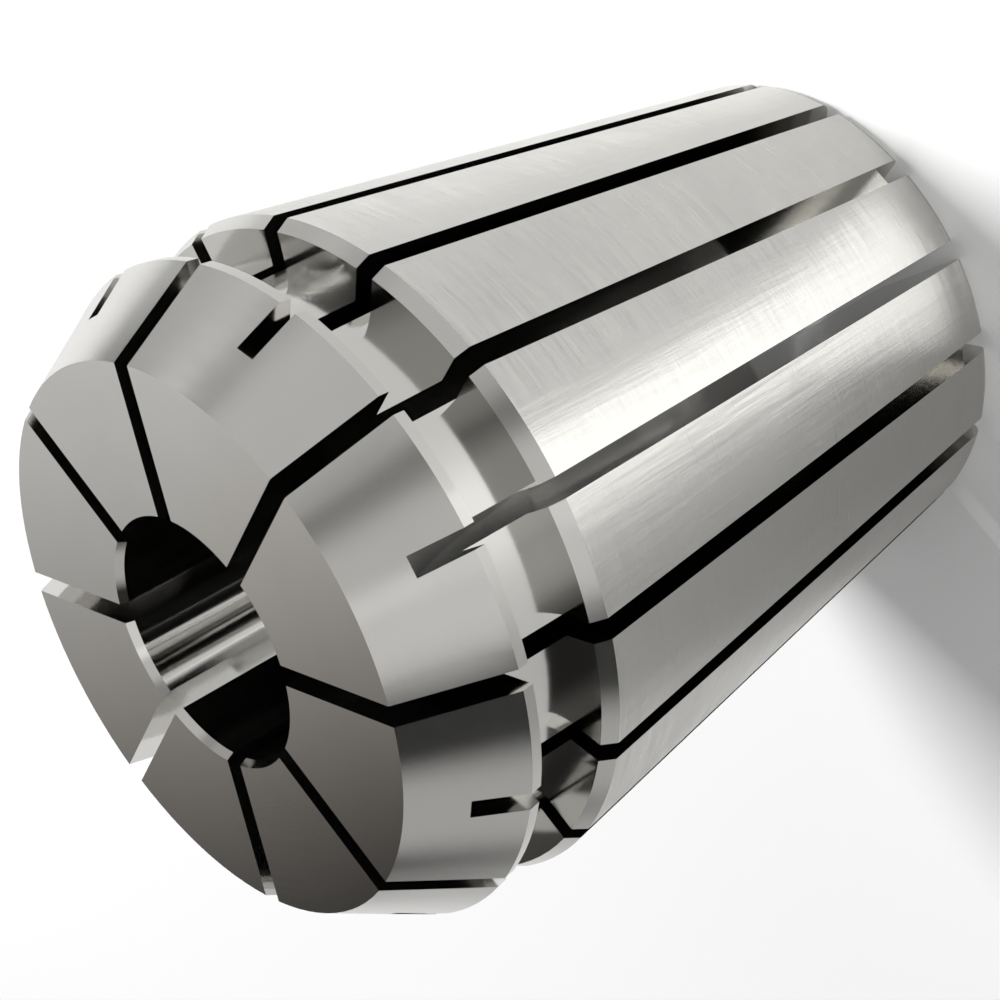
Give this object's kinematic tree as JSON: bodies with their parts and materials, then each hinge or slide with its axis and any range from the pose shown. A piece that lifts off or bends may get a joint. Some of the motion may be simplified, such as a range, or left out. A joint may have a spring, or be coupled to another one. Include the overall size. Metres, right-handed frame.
{
  "type": "er collet",
  "caption": "Slotted steel spring collet: a long taper seats in a tool holder, a grooved nose takes the clamping nut, and a through bore closes on a round tool shank.",
  "frame": {"origin": "centre of the small rear end, on the axis, where the collet stands", "axes": "+Z along the bore axis from the rear end to the nose; +X through the middle of a slot that is cut from the front face"},
  "size_m": [0.033, 0.033, 0.04],
  "materials": {
    "ground_steel": "ground and polished bright, bare hardened spring steel"
  },
  "bodies": {
    "root": {"collet": "ground_steel"}
  },
  "joints": []
}
